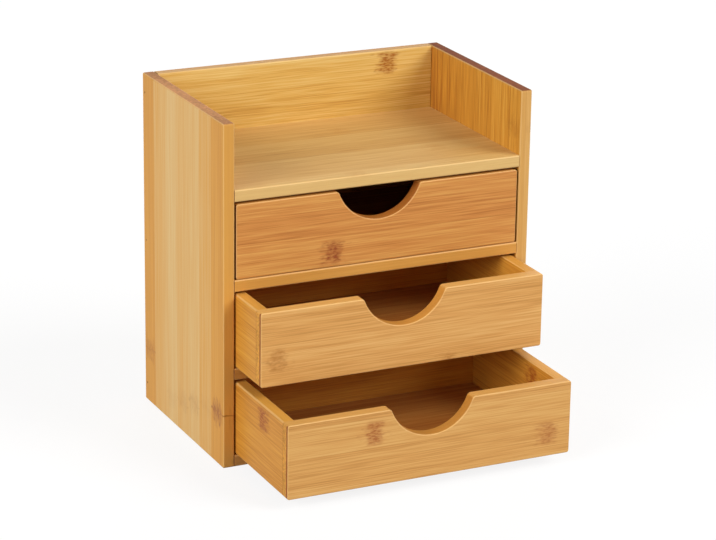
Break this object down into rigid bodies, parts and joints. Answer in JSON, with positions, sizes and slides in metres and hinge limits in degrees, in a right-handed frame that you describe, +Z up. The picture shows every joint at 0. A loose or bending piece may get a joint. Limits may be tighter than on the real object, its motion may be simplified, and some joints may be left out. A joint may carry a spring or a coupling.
{
  "type": "desktop mini drawers",
  "caption": "Small bamboo desk cabinet with an open tray on top and a stack of sliding drawers, each opened by a round finger notch in its front.",
  "frame": {"origin": "middle of the cabinet's underside, on the surface that it stands on", "axes": "+X to the right seen from the front, +Y from front to back, +Z up; the drawers open towards -Y"},
  "size_m": [0.205, 0.2055, 0.2165],
  "materials": {
    "bamboo_side": "satin clear varnish on laminated bamboo, upright grain",
    "bamboo_back": "satin clear varnish on laminated bamboo, level grain",
    "bamboo_shelf": "satin clear varnish on laminated bamboo, level grain",
    "bamboo_front": "satin clear varnish on laminated bamboo, level grain",
    "bamboo_drawer": "satin clear varnish on laminated bamboo, level grain",
    "bamboo_floor": "thin bamboo panel, satin",
    "dowel_wood": "plain turned wood, hidden",
    "steel_pin": "headless steel pin, set just below the surface"
  },
  "bodies": {
    "case": {"left_side": "bamboo_side", "right_side": "bamboo_side", "back_panel": "bamboo_back", "top_shelf": "bamboo_shelf", "upper_divider": "bamboo_shelf", "lower_divider": "bamboo_shelf", "base_board": "bamboo_shelf", "case_dowels": "dowel_wood", "back_pins": "steel_pin"},
    "top_drawer": {"top_drawer_front": "bamboo_front", "top_drawer_left": "bamboo_drawer", "top_drawer_right": "bamboo_drawer", "top_drawer_back": "bamboo_drawer", "top_drawer_floor": "bamboo_floor", "top_drawer_dowels": "dowel_wood"},
    "middle_drawer": {"middle_drawer_front": "bamboo_front", "middle_drawer_left": "bamboo_drawer", "middle_drawer_right": "bamboo_drawer", "middle_drawer_back": "bamboo_drawer", "middle_drawer_floor": "bamboo_floor", "middle_drawer_dowels": "dowel_wood"},
    "bottom_drawer": {"bottom_drawer_front": "bamboo_front", "bottom_drawer_left": "bamboo_drawer", "bottom_drawer_right": "bamboo_drawer", "bottom_drawer_back": "bamboo_drawer", "bottom_drawer_floor": "bamboo_floor", "bottom_drawer_dowels": "dowel_wood"}
  },
  "joints": [
    {"name": "top_drawer_slide", "type": "slide", "parent": "case", "child": "top_drawer", "axis": [0, -1, 0], "range_m": [0, 0.095]},
    {"name": "middle_drawer_slide", "type": "slide", "parent": "case", "child": "middle_drawer", "axis": [0, -1, 0], "range_m": [-0.037, 0.058]},
    {"name": "bottom_drawer_slide", "type": "slide", "parent": "case", "child": "bottom_drawer", "axis": [0, -1, 0], "range_m": [-0.0765, 0.0185]}
  ]
}
